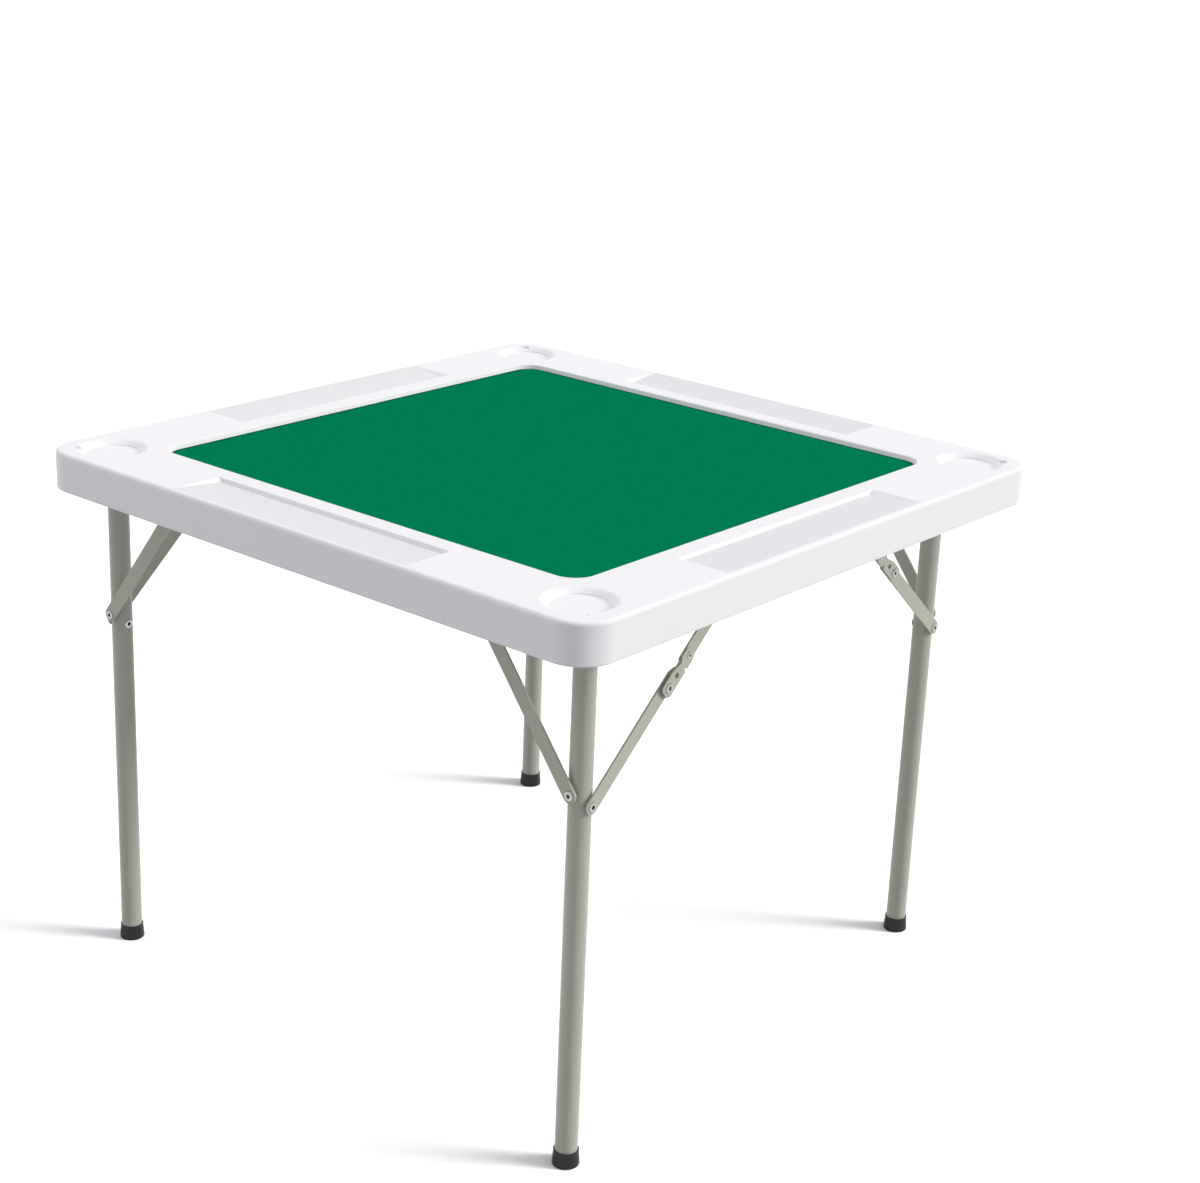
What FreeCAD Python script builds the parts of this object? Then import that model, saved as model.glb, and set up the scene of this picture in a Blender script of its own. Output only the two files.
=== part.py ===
import FreeCAD, Part
import math
import os

# Moulded top, in millimetres
table_side = 940.0
table_height = 720.0
skirt_depth = 52.0
skirt_wall = 20.0
panel_thickness = 22.0
corner_radius = 48.0
top_edge_round = 5.0
bottom_edge_round = 2.5
pocket_draft = 2.0

# Playing recess and its cloth
rim_width = 109.0
recess_corner = 30.0
recess_depth = 7.5
recess_draft = 2.5
recess_lip = 2.0
felt_thickness = 1.8
felt_margin = 0.4

# Cup recesses
cup_diameter = 88.0
cup_floor_diameter = 72.0
cup_depth = 7.0
cup_step = 2.0
cup_step_draft = 0.4
cup_floor_round = 0.8
cup_lip = 10.0
cup_notch_width = 12.0
cup_notch_reach = 7.0
cup_notch_depth = 3.5

# Sloped tile trays
tray_length = 404.0
tray_depth = 4.5
tray_inner_inset = 82.0
tray_outer_inset = 7.5
tray_offset = -10.0
tray_wall_run = 1.5
tray_end_run = 9.0

# Steel tubes of the two leg frames
tube_diameter = 28.0
tube_wall = 1.2
front_leg_inset = 62.0
leg_setback = 75.0
frame_nest_gap = 20.0
cope_gap = 0.25
cope_trim = 4.0

# Foot caps and tube plugs
cap_height = 21.0
cap_sole = 4.0
cap_wall_top = 1.2
cap_flare = 2.0
cap_edge = 1.0
plug_flange = 2.0
plug_depth = 12.0

# Flat braces
strap_width = 19.0
strap_thickness = 2.5
brace_drop = 206.0
knuckle_offset = 24.0
brace_spacer = 2.0
plain_drop = 192.0
plain_reach = 148.0
front_plain_spacer = 3.5
rear_plain_spacer = 0.0

# Knuckle lock plate
plate_thickness = 2.0
plate_width = 20.0
plate_tail = 10.0
plate_length = 47.0
plate_head = 8.0
plate_hole = 7.0
plate_hole_place = 18.0
plate_waist_place = 32.0
plate_waist_width = 4.0
plate_waist_depth = 4.5
plate_bevel = 4.0
overlap_reach = 31.0
overlap_taper = 15.0
tongue_width = 12.0

# Tack-off slots that tie the two skins of the top together from below
slot_rows = 6
slot_length = 62.0
slot_width = 14.0
slot_depth = 7.0
slot_draft = 3.0

# Brace brackets under the top
ear_thickness = 2.5
ear_width = 20.0
flange_thickness = 2.0
flange_reach = 44.0
flange_width = 34.0
fold_clearance = 1.0

# Crossbar saddles
saddle_place = 75.0
saddle_width = 24.0
saddle_wall = 4.0
saddle_flange = 4.0
saddle_half_length = 31.0

# Fasteners and fits
rivet_diameter = 6.0
rivet_head_diameter = 12.0
rivet_head_height = 2.2
rivet_tail_height = 1.4
pin_diameter = 4.2
pin_head_diameter = 8.2
pin_head_height = 1.2
spacer_diameter = 13.0
screw_diameter = 4.0
screw_head_diameter = 8.0
screw_head_height = 2.2
screw_length = 11.0
running_fit = 0.05
slide_gap = 0.1
link_gap = 0.3

# Derived places
half = table_side / 2
recess_side = table_side - 2 * rim_width
recess_half = recess_side / 2
tube_radius = tube_diameter / 2
rivet_radius = rivet_diameter / 2
pin_radius = pin_diameter / 2
head_radius = rivet_head_diameter / 2
screw_radius = screw_diameter / 2
underside = table_height - panel_thickness
skirt_bottom = table_height - skirt_depth
hinge_height = underside - flange_thickness - fold_clearance - tube_radius
hinge_place = half - leg_setback
front_leg_place = half - front_leg_inset
rear_leg_place = front_leg_place - tube_diameter - frame_nest_gap
leg_places = {"front": front_leg_place, "rear": rear_leg_place}

# Brace linkage, measured in the fold plane
pivot_height = hinge_height - brace_drop
bracket_distance = brace_drop + knuckle_offset
brace_length = math.hypot(brace_drop, bracket_distance)
lower_length = (brace_length + knuckle_offset) / 2
upper_length = (brace_length - knuckle_offset) / 2

# Layers of the folding brace, outward from the leg axis
lower_in = tube_radius + brace_spacer + slide_gap
lower_out = lower_in + strap_thickness
upper_in = lower_out + link_gap
upper_out = upper_in + strap_thickness
plate_out = upper_out + plate_thickness
ear_in = upper_out + slide_gap
ear_out = ear_in + ear_thickness

# Layers of the plain braces, outward from the leg axis
plain_spacers = {"front": front_plain_spacer, "rear": rear_plain_spacer}
blind_depth = tube_wall + 4.0

UP = FreeCAD.Vector(0, 0, 1)
EAST = FreeCAD.Vector(1, 0, 0)
NORTH = FreeCAD.Vector(0, 1, 0)
HERE = FreeCAD.Vector(0, 0, 0)


def vec(x, y, z=0.0):
    return FreeCAD.Vector(x, y, z)


def rounded_square(size, radius, z):
    """Closed outline of a square with rounded corners, half size given."""
    flat = size - radius
    edges = []
    first = None
    last = None
    for quarter in range(4):
        start = math.radians(90 * quarter)
        centre = vec(flat * math.copysign(1, math.cos(start + math.pi / 4)),
                     flat * math.copysign(1, math.sin(start + math.pi / 4)), z)
        points = []
        for turn in (0, math.pi / 4, math.pi / 2):
            points.append(centre + vec(radius * math.cos(start + turn), radius * math.sin(start + turn)))
        if last is not None:
            edges.append(Part.makeLine(last, points[0]))
        edges.append(Part.Arc(points[0], points[1], points[2]).toShape())
        last = points[2]
        if first is None:
            first = points[0]
    edges.append(Part.makeLine(last, first))
    return Part.Wire(edges)


def drafted_block(low_size, low_radius, low_z, high_size, high_radius, high_z):
    """Rounded square block whose walls lean outward."""
    low = rounded_square(low_size, low_radius, low_z)
    high = rounded_square(high_size, high_radius, high_z)
    return Part.makeLoft([low, high], True, True)


def plate_outline(points, thickness):
    """Flat plate from a closed outline of straight edges."""
    wire = Part.makePolygon(points + [points[0]])
    return Part.Face(wire).extrude(UP * thickness)


def place_on(shape, origin, along, normal):
    """Carry a plate drawn flat to its own place, length along one axis."""
    across = normal.cross(along)
    turned = FreeCAD.Rotation(along, across, normal, "ZXY")
    copy = shape.copy()
    copy.Placement = FreeCAD.Placement(origin, turned)
    return copy


def pierced(body, holes):
    """Strap or plate with round holes at places along its middle."""
    for place, radius in holes:
        body = body.cut(Part.makeCylinder(radius, strap_thickness + 2, vec(place, 0, -1)))
    return body


def strap(length):
    """Flat steel strap with round ends, pierced at its two ends."""
    r = strap_width / 2
    outline = Part.Wire([
        Part.makeLine(vec(0, -r), vec(length, -r)),
        Part.Arc(vec(length, -r), vec(length + r, 0), vec(length, r)).toShape(),
        Part.makeLine(vec(length, r), vec(0, r)),
        Part.Arc(vec(0, r), vec(-r, 0), vec(0, -r)).toShape()])
    body = Part.Face(outline).extrude(UP * strap_thickness)
    return pierced(body, [(0, rivet_radius + running_fit), (length, rivet_radius + running_fit)])


def lower_strap():
    """Lower link: it runs on past the knuckle under the lock plate and tapers on its upper edge."""
    r = strap_width / 2
    tip = lower_length + overlap_reach
    bend = lower_length + overlap_taper
    outline = Part.Wire([
        Part.makeLine(vec(0, -r), vec(tip - r / 2, -r)),
        Part.makeLine(vec(tip - r / 2, -r), vec(tip, -r / 2)),
        Part.makeLine(vec(tip, -r / 2), vec(tip, -r / 4)),
        Part.Arc(vec(tip, -r / 4), vec((tip + bend) / 2, r * 0.62), vec(bend, r)).toShape(),
        Part.makeLine(vec(bend, r), vec(0, r)),
        Part.Arc(vec(0, r), vec(-r, 0), vec(0, -r)).toShape()])
    body = Part.Face(outline).extrude(UP * strap_thickness)
    return pierced(body, [(0, rivet_radius + running_fit), (lower_length, rivet_radius + running_fit),
                          (lower_length + plate_hole_place, plate_hole / 2)])


def upper_strap():
    """Upper link: full width above the lock plate's waist, a narrow tongue under it to the knuckle."""
    r = strap_width / 2
    t = tongue_width / 2
    outline = Part.Wire([
        Part.makeLine(vec(0, -t), vec(plate_waist_place, -t)),
        Part.makeLine(vec(plate_waist_place, -t), vec(plate_waist_place + r - t, -r)),
        Part.makeLine(vec(plate_waist_place + r - t, -r), vec(upper_length, -r)),
        Part.Arc(vec(upper_length, -r), vec(upper_length + r, 0), vec(upper_length, r)).toShape(),
        Part.makeLine(vec(upper_length, r), vec(plate_waist_place + r - t, r)),
        Part.makeLine(vec(plate_waist_place + r - t, r), vec(plate_waist_place, t)),
        Part.makeLine(vec(plate_waist_place, t), vec(0, t)),
        Part.Arc(vec(0, t), vec(-t, 0), vec(0, -t)).toShape()])
    body = Part.Face(outline).extrude(UP * strap_thickness)
    return pierced(body, [(0, rivet_radius + running_fit), (upper_length, rivet_radius + running_fit),
                          (plate_hole_place, plate_hole / 2), (plate_length, pin_radius + running_fit)])


def spun(profile, origin, axis):
    """Turned piece from a half profile of radius and height pairs."""
    points = [vec(r, 0, h) for r, h in profile]
    face = Part.Face(Part.makePolygon(points + [points[0]]))
    solid = face.revolve(HERE, UP, 360)
    solid.Placement = FreeCAD.Placement(origin, FreeCAD.Rotation(UP, axis))
    return solid


def rivet(origin, axis, start, end, tail, head):
    """Rivet with a chamfered head at its far end and a low tail at the near end."""
    bevel = head * 0.5
    profile = [(0, start - tail)]
    if tail > 0:
        profile += [(head_radius, start - tail), (head_radius, start)]
    profile += [(rivet_radius, start), (rivet_radius, end)]
    if head > 0:
        profile += [(head_radius, end), (head_radius, end + head - bevel),
                    (head_radius - bevel * 1.4, end + head)]
    profile += [(0, end + head)]
    return spun(profile, origin, axis)


def ring(origin, axis, start, thickness):
    """Plain steel spacer between a tube and a strap."""
    bore = rivet_radius + running_fit
    rim = spacer_diameter / 2
    end = start + thickness
    return spun([(bore, start), (rim, start), (rim, end), (bore, end)], origin, axis)


def fused(shapes):
    """Several touching solids made into one."""
    body = shapes[0]
    for other in shapes[1:]:
        body = body.fuse(other)
    return body.removeSplitter()


def group(shapes):
    """Identical fasteners kept together as one piece."""
    return Part.makeCompound(shapes)


def mirrored(shape, side, end):
    """Carry a piece of the front right corner to another corner."""
    copy = shape.copy()
    if side == "left":
        copy = copy.mirror(HERE, EAST)
    if end == "rear":
        copy = copy.mirror(HERE, NORTH)
    return copy


def edges_at(shape, z, keep):
    """Edges that lie wholly at one height and pass a test on their middle."""
    found = []
    for edge in shape.Edges:
        if all(abs(v.Point.z - z) < 1e-4 for v in edge.Vertexes):
            if abs(edge.BoundBox.ZLength) < 1e-4 and keep(edge.BoundBox.Center):
                found.append(edge)
    return found


pieces = {}
saddle_points = []
bracket_points = []
for end_name, sign in (("front", -1), ("rear", 1)):
    for side_sign in (-1, 1):
        saddle_points.append((side_sign * (leg_places[end_name] - saddle_place), sign * hinge_place))
        bracket_points.append((side_sign, leg_places[end_name], sign))

# Screw places of the saddles and of the bracket flanges
saddle_screw_offset = saddle_half_length - screw_head_diameter / 2 - 2.5
bracket_screw_inward = ear_out - flange_reach * 0.72
bracket_screw_offset = flange_width * 0.3
saddle_screw_points = []
for x, y in saddle_points:
    for way in (-1, 1):
        saddle_screw_points.append((x, y + way * saddle_screw_offset))
bracket_screw_points = []
for side_sign, leg_place, sign in bracket_points:
    for way in (-1, 1):
        bracket_screw_points.append((side_sign * (leg_place + bracket_screw_inward),
                                     sign * (hinge_place - bracket_distance + way * bracket_screw_offset)))

# Moulded top: rounded slab with a deep skirt and an open bay below for the legs
top = Part.Face(rounded_square(half, corner_radius, skirt_bottom)).extrude(UP * skirt_depth)
top = top.makeFillet(top_edge_round, edges_at(top, table_height, lambda c: True))
top = top.makeFillet(bottom_edge_round, edges_at(top, skirt_bottom, lambda c: True))
bay_size = half - skirt_wall
bay = drafted_block(bay_size, corner_radius - skirt_wall, skirt_bottom - 1,
                    bay_size - pocket_draft, corner_radius - skirt_wall, underside)
top = top.cut(bay)

# Playing recess with leaning walls
spread = recess_draft / recess_depth
recess = drafted_block(recess_half - recess_draft, recess_corner - recess_draft, table_height - recess_depth,
                       recess_half + spread, recess_corner + spread, table_height + 1)
top = top.cut(recess)

# Cup recesses: soft shoulder, crisp step to the floor and a finger notch toward the corner,
# each midway between the round corner of the recess and that of the table
diagonal = math.sqrt(2)
recess_point = (recess_half - recess_corner) * diagonal + recess_corner
table_point = (half - corner_radius) * diagonal + corner_radius
cup_place = (recess_point + table_point) / 2 / diagonal
cup_rim = cup_diameter / 2
cup_floor = cup_floor_diameter / 2
step_radius = cup_floor + cup_step_draft
shoulder = (cup_rim - step_radius) / (cup_depth - cup_step)
for side_sign in (-1, 1):
    for sign in (-1, 1):
        centre = vec(side_sign * cup_place, sign * cup_place, table_height - cup_depth)
        cup = spun([(0, 0), (cup_floor, 0), (step_radius, cup_step), (cup_rim, cup_depth),
                    (cup_rim + shoulder, cup_depth + 1), (0, cup_depth + 1)], HERE, UP)
        cup = cup.makeFillet(cup_floor_round, edges_at(cup, 0, lambda c: True))
        cup.translate(centre)
        top = top.cut(cup)
        rim_edges = [edge for edge in edges_at(top, table_height, lambda c: True)
                     if (edge.BoundBox.Center - vec(centre.x, centre.y, table_height)).Length < 1]
        top = top.makeFillet(cup_lip, rim_edges)
        notch_length = cup_rim + cup_notch_reach
        notch = Part.makeBox(notch_length - cup_floor, cup_notch_width, cup_notch_depth + 1,
                             vec(cup_floor, -cup_notch_width / 2, cup_depth - cup_notch_depth))
        notch.rotate(HERE, UP, math.degrees(math.atan2(sign, side_sign)))
        notch.translate(centre)
        top = top.cut(notch)

# Sloped tile trays: level with the rim outside, deepest at the inner wall, with leaning ends
tray_inner = half - tray_inner_inset
tray_outer = half - tray_outer_inset
rise = 1 / tray_depth
high_inner = tray_inner - tray_wall_run * rise
high_outer = tray_outer + (tray_outer - tray_inner - tray_wall_run) * rise
high_end = tray_length / 2 + tray_end_run * rise
floor_end = tray_length / 2 - tray_end_run
for quarter in range(4):
    deep = [vec(tray_inner + tray_wall_run, way * floor_end, table_height - tray_depth) for way in (-1, 1)]
    inner = [vec(high_inner, way * high_end, table_height + 1) for way in (-1, 1)]
    outer = [vec(high_outer, way * high_end, table_height + 1) for way in (-1, 1)]
    sides = [[deep[0], deep[1], outer[1], outer[0]], [deep[0], deep[1], inner[1], inner[0]],
             [inner[0], inner[1], outer[1], outer[0]],
             [deep[0], inner[0], outer[0]], [deep[1], inner[1], outer[1]]]
    faces = [Part.Face(Part.makePolygon(corners + corners[:1])) for corners in sides]
    wedge = Part.Solid(Part.Shell(faces))
    wedge.translate(vec(0, tray_offset))
    wedge.rotate(HERE, UP, 90 * quarter)
    top = top.cut(wedge)

# Rounded lip of the playing recess
top = top.makeFillet(recess_lip, [
    edge for edge in edges_at(top, table_height, lambda c: True)
    if max(max(abs(v.Point.x), abs(v.Point.y)) for v in edge.Vertexes) < recess_half + 0.5])

# Tack-off slots in rows under the playing recess, turned by turns
slot_pitch = recess_side / (slot_rows + 0.5)
for row in range(slot_rows):
    for column in range(slot_rows):
        along, across = (slot_length, slot_width)
        if (row + column) % 2:
            along, across = across, along
        middle = (slot_rows - 1) / 2
        spot = vec((row - middle) * slot_pitch, (column - middle) * slot_pitch)
        outlines = []
        for height, shrink in ((underside - 0.5, 0.0), (underside + slot_depth, slot_draft)):
            a, b = along / 2 - shrink, across / 2 - shrink
            corners = [vec(-a, -b, height), vec(a, -b, height), vec(a, b, height), vec(-a, b, height)]
            outlines.append(Part.makePolygon([corner + spot for corner in corners + corners[:1]]))
        top = top.cut(Part.makeLoft(outlines, True, True))

# Screw holes in the underside
for x, y in saddle_screw_points + bracket_screw_points:
    depth = screw_length - flange_thickness + 1
    top = top.cut(Part.makeCylinder(screw_radius + running_fit, depth + 1, vec(x, y, underside - 1)))
pieces["table_top"] = top

# Cloth laid in the playing recess
felt_half = recess_half - recess_draft - felt_margin
felt_corner = recess_corner - recess_draft - felt_margin
pieces["playing_felt"] = Part.Face(
    rounded_square(felt_half, felt_corner, table_height - recess_depth)).extrude(UP * felt_thickness)

# Saddles that carry the crossbars
saddle_bore = tube_radius + slide_gap
saddle_outer = saddle_bore + saddle_wall
low = -saddle_width / 2
for (x, y), saddle_name in zip(saddle_points, ("front_left", "front_right", "rear_left", "rear_right")):
    rise = underside - hinge_height
    arch = Part.makeCylinder(saddle_outer, saddle_width, vec(low, 0, 0), EAST)
    upper_half = Part.makeBox(saddle_width, 2 * saddle_outer, 2 * saddle_outer, vec(low, -saddle_outer, 0))
    arch = arch.cut(upper_half)
    neck = Part.makeBox(saddle_width, 2 * saddle_outer, rise, vec(low, -saddle_outer, 0))
    foot = Part.makeBox(saddle_width, 2 * saddle_half_length, saddle_flange,
                        vec(low, -saddle_half_length, rise - saddle_flange))
    body = fused([arch, neck, foot])
    body = body.cut(Part.makeCylinder(saddle_bore, saddle_width + 2, vec(low - 1, 0, 0), EAST))
    for way in (-1, 1):
        hole = Part.makeCylinder(screw_radius + running_fit, saddle_flange + 2,
                                 vec(0, way * saddle_screw_offset, rise - saddle_flange - 1))
        body = body.cut(hole)
    body.translate(vec(x, y, hinge_height))
    pieces["saddle_" + saddle_name] = body

# Pan head screws of the saddles
saddle_screws = []
for x, y in saddle_screw_points:
    seat = underside - saddle_flange
    rim = screw_head_diameter / 2
    crown = seat - screw_head_height
    profile = [(0, crown), (rim - 1, crown), (rim, seat - 1), (rim, seat), (screw_radius, seat),
               (screw_radius, seat + screw_length), (0, seat + screw_length)]
    saddle_screws.append(spun(profile, vec(x, y), UP))
pieces["saddle_screws"] = group(saddle_screws)

# Countersunk screws of the brackets, flush with the flange
bracket_screws = []
sink = screw_head_diameter / 2
for x, y in bracket_screw_points:
    seat = underside - flange_thickness
    profile = [(0, seat), (sink - running_fit, seat), (screw_radius, underside),
               (screw_radius, underside + screw_length - flange_thickness),
               (0, underside + screw_length - flange_thickness)]
    bracket_screws.append(spun(profile, vec(x, y), UP))
pieces["bracket_screws"] = group(bracket_screws)


def bracket(leg_place):
    """Pressed bracket: a flange under the top and one ear for the brace pin."""
    centre_y = -hinge_place + bracket_distance
    seat = underside - flange_thickness
    flange = Part.makeBox(flange_reach, flange_width, flange_thickness,
                          vec(leg_place + ear_out - flange_reach, centre_y - flange_width / 2, seat))
    r = ear_width / 2
    wide = flange_width / 2
    rise = underside - hinge_height
    outline = Part.Wire([
        Part.makeLine(vec(-r, 0), vec(-wide, rise)),
        Part.makeLine(vec(-wide, rise), vec(wide, rise)),
        Part.makeLine(vec(wide, rise), vec(r, 0)),
        Part.Arc(vec(r, 0), vec(0, -r), vec(-r, 0)).toShape()])
    ear = Part.Face(outline).extrude(UP * ear_thickness)
    ear = place_on(ear, vec(leg_place + ear_in, centre_y, hinge_height), NORTH, EAST)
    body = fused([flange, ear])
    bore = Part.makeCylinder(rivet_radius + running_fit, ear_thickness + 2,
                             vec(leg_place + ear_in - 1, centre_y, hinge_height), EAST)
    body = body.cut(bore)
    for way in (-1, 1):
        spot = vec(leg_place + bracket_screw_inward, centre_y + way * bracket_screw_offset, seat)
        cone = Part.makeCone(sink + running_fit, screw_radius + running_fit * 2, flange_thickness, spot)
        body = body.cut(cone)
    return body


def lock_plate():
    """Knuckle plate: a lobe on the rivet, a waist notched on both edges and a lobe on the pin."""
    w = plate_width / 2
    waist = w - plate_waist_depth
    low = plate_waist_place - plate_waist_width / 2
    high = plate_waist_place + plate_waist_width / 2
    tip = plate_length + plate_head
    b = plate_bevel
    outline = [vec(-plate_tail, -w + b), vec(-plate_tail + b, -w), vec(low, -w), vec(low + 1, -waist),
               vec(high - 1, -waist), vec(high, -w), vec(plate_length, -w), vec(tip, -w + b),
               vec(tip, w - 1.5 * b), vec(tip - b, w), vec(high + b, w), vec(high, waist), vec(low, waist),
               vec(overlap_taper, w), vec(-plate_tail + b, w), vec(-plate_tail, w - b)]
    body = plate_outline(outline, plate_thickness)
    return pierced(body, [(0, rivet_radius + running_fit), (plate_hole_place, plate_hole / 2),
                          (plate_length, pin_radius + running_fit)])


def leg_tube(leg_place):
    """Tube coped to the crossbar at its top, drilled through for the brace pivot."""
    height = hinge_height - cope_trim - cap_sole
    body = Part.makeCylinder(tube_radius, height, vec(leg_place, -hinge_place, cap_sole))
    body = body.cut(Part.makeCylinder(tube_radius - tube_wall, height + 2,
                                      vec(leg_place, -hinge_place, cap_sole - 1)))
    body = body.cut(Part.makeCylinder(tube_radius + cope_gap, 4 * tube_diameter,
                                      vec(leg_place - 2 * tube_diameter, -hinge_place, hinge_height), EAST))
    hole = rivet_radius + running_fit
    reach = tube_diameter + 4
    body = body.cut(Part.makeCylinder(hole, reach, vec(leg_place - reach / 2, -hinge_place, pivot_height),
                                      EAST))
    body = body.cut(Part.makeCylinder(hole, tube_diameter, vec(leg_place, -hinge_place - tube_diameter,
                                                               hinge_height - plain_drop), NORTH))
    return body


def foot_cap(leg_place):
    """Flared push-on cap with a solid sole."""
    bore = tube_radius + running_fit
    crown = bore + cap_wall_top
    base = crown + cap_flare - cap_wall_top + 0.7
    profile = [(0, 0), (base - cap_edge, 0), (base, cap_edge), (crown, cap_height),
               (bore, cap_height), (bore, cap_sole), (0, cap_sole)]
    return spun(profile, vec(leg_place, -hinge_place), UP)


def crossbar(leg_place, end_name):
    """Tube that joins both legs and turns in the saddles."""
    length = 2 * (leg_place + tube_radius)
    start = vec(-length / 2, 0, hinge_height)
    body = Part.makeCylinder(tube_radius, length, start, EAST)
    body = body.cut(Part.makeCylinder(tube_radius - tube_wall, length, start, EAST))
    for side_sign in (-1, 1):
        place = side_sign * (leg_place - plain_reach)
        body = body.cut(Part.makeCylinder(rivet_radius + running_fit, tube_diameter,
                                          vec(place, -tube_diameter, hinge_height), NORTH))
    body.translate(vec(0, -hinge_place))
    return mirrored(body, "right", end_name)


def end_plug(leg_place):
    """Push-in plug that closes one end of a crossbar."""
    stem = tube_radius - tube_wall - running_fit
    profile = [(0, -plug_depth), (stem - 0.6, -plug_depth), (stem, -plug_depth + 1.5), (stem, 0),
               (tube_radius, 0), (tube_radius, plug_flange * 0.4), (tube_radius - 1.4, plug_flange),
               (0, plug_flange)]
    return spun(profile, vec(leg_place + tube_radius, -hinge_place, hinge_height), EAST)


# Two leg frames and their four folding braces
rise_way = vec(0, bracket_distance / brace_length, brace_drop / brace_length)
plain_length = math.hypot(plain_drop, plain_reach)
plain_way = vec(-plain_reach / plain_length, 0, plain_drop / plain_length)
outward = vec(0, -1, 0)
bracket_pins = []
for end_name in ("front", "rear"):
    leg_place = leg_places[end_name]
    axis_point = vec(leg_place, -hinge_place, pivot_height)
    knuckle = axis_point + rise_way * lower_length
    plain_in = tube_radius + plain_spacers[end_name]
    plain_out = plain_in + strap_thickness
    bracket_pivot = vec(leg_place, -hinge_place + bracket_distance, hinge_height)
    plain_low = vec(leg_place, -hinge_place, hinge_height - plain_drop)
    plain_high = vec(leg_place - plain_reach, -hinge_place, hinge_height)
    pieces[end_name + "_crossbar"] = crossbar(leg_place, end_name)
    frame_rivets = []
    frame_spacers = []
    for side in ("left", "right"):
        where = end_name + "_" + side
        pieces["leg_" + where] = mirrored(leg_tube(leg_place), side, end_name)
        pieces["foot_cap_" + where] = mirrored(foot_cap(leg_place), side, end_name)
        pieces["end_plug_" + where] = mirrored(end_plug(leg_place), side, end_name)
        pieces["bracket_" + where] = mirrored(bracket(leg_place), side, end_name)

        stay = place_on(strap(plain_length), plain_low + outward * plain_in, plain_way, outward)
        pieces["plain_brace_" + where] = mirrored(stay, side, end_name)

        lower = place_on(lower_strap(), axis_point + EAST * lower_in, rise_way, EAST)
        pieces["lower_link_" + where] = mirrored(lower, side, end_name)
        upper = place_on(upper_strap(), knuckle + EAST * upper_in, rise_way, EAST)
        pieces["upper_link_" + where] = mirrored(upper, side, end_name)
        plate = place_on(lock_plate(), knuckle + EAST * upper_out, rise_way, EAST)
        pieces["lock_plate_" + where] = mirrored(plate, side, end_name)

        split = (lower_out + upper_in) / 2
        low_half = rivet(knuckle, EAST, lower_in, split - slide_gap / 2, rivet_tail_height, 0)
        pieces["knuckle_tail_" + where] = mirrored(low_half, side, end_name)
        high_half = rivet(knuckle, EAST, split + slide_gap / 2, plate_out, 0, rivet_head_height)
        pin_top = plate_out + pin_head_height
        pin_rim = pin_head_diameter / 2
        pin = spun([(0, upper_in), (pin_radius, upper_in), (pin_radius, plate_out), (pin_rim, plate_out),
                    (pin_rim - pin_head_height / 2, pin_top), (0, pin_top)],
                   knuckle + rise_way * plate_length, EAST)
        pieces["plate_rivets_" + where] = mirrored(group([high_half, pin]), side, end_name)

        pivot_rivet = rivet(axis_point, EAST, -tube_radius, lower_out + slide_gap,
                            rivet_tail_height, rivet_head_height)
        frame_rivets.append(mirrored(pivot_rivet, side, end_name))
        frame_spacers.append(mirrored(ring(axis_point, EAST, tube_radius, brace_spacer), side, end_name))
        for foot_point in (plain_low, plain_high):
            stay_rivet = rivet(foot_point, outward, tube_radius - blind_depth, plain_out,
                               0, rivet_head_height)
            frame_rivets.append(mirrored(stay_rivet, side, end_name))
            if plain_spacers[end_name] > 0:
                collar = ring(foot_point, outward, tube_radius, plain_spacers[end_name])
                frame_spacers.append(mirrored(collar, side, end_name))

        pin = rivet(bracket_pivot, EAST, upper_in, ear_out, 0, rivet_head_height)
        bracket_pins.append(mirrored(pin, side, end_name))
    pieces[end_name + "_rivets"] = group(frame_rivets)
    pieces[end_name + "_spacers"] = group(frame_spacers)
pieces["bracket_pins"] = group(bracket_pins)

os.makedirs("parts", exist_ok=True)
for name, shape in pieces.items():
    shape.exportStep("parts/" + name + ".step")
print(len(pieces), "pieces")
print("knuckle", lower_length, upper_length, "hinge", hinge_place, hinge_height)
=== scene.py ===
import math
import bmesh
import bpy
from mathutils import Matrix, Vector, noise


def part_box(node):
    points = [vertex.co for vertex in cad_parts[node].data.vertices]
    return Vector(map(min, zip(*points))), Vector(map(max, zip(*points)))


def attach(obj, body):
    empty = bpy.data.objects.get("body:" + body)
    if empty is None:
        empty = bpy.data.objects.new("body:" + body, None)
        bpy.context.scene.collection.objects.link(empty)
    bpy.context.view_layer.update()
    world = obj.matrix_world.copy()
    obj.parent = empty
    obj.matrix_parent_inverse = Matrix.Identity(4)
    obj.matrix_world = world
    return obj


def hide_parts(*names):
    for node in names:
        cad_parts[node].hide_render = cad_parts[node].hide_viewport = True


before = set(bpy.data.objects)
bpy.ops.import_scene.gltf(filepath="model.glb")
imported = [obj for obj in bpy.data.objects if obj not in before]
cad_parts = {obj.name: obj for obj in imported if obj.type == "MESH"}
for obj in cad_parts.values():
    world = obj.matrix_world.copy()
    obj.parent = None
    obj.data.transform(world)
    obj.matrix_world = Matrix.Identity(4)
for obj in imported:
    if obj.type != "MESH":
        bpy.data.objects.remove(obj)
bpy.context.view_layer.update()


# Moulded top: one blow-moulded polyethylene shell with a rim, a deep skirt, a playing recess, round
# corner recesses and sloped side trays. The leg frames and their braces hang from its underside.
def linear(hex_colour):
    """An sRGB hex colour as linear red, green, blue and full cover."""
    channels = [int(hex_colour[i:i + 2], 16) / 255 for i in (1, 3, 5)]
    return tuple(c / 12.92 if c <= 0.04045 else ((c + 0.055) / 1.055) ** 2.4 for c in channels) + (1.0,)


def new_finish(name):
    """A new material with its tree of nodes and its shader."""
    finish = bpy.data.materials.new(name)
    finish.use_nodes = True
    tree = finish.node_tree
    return finish, tree, tree.nodes["Principled BSDF"]


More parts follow.
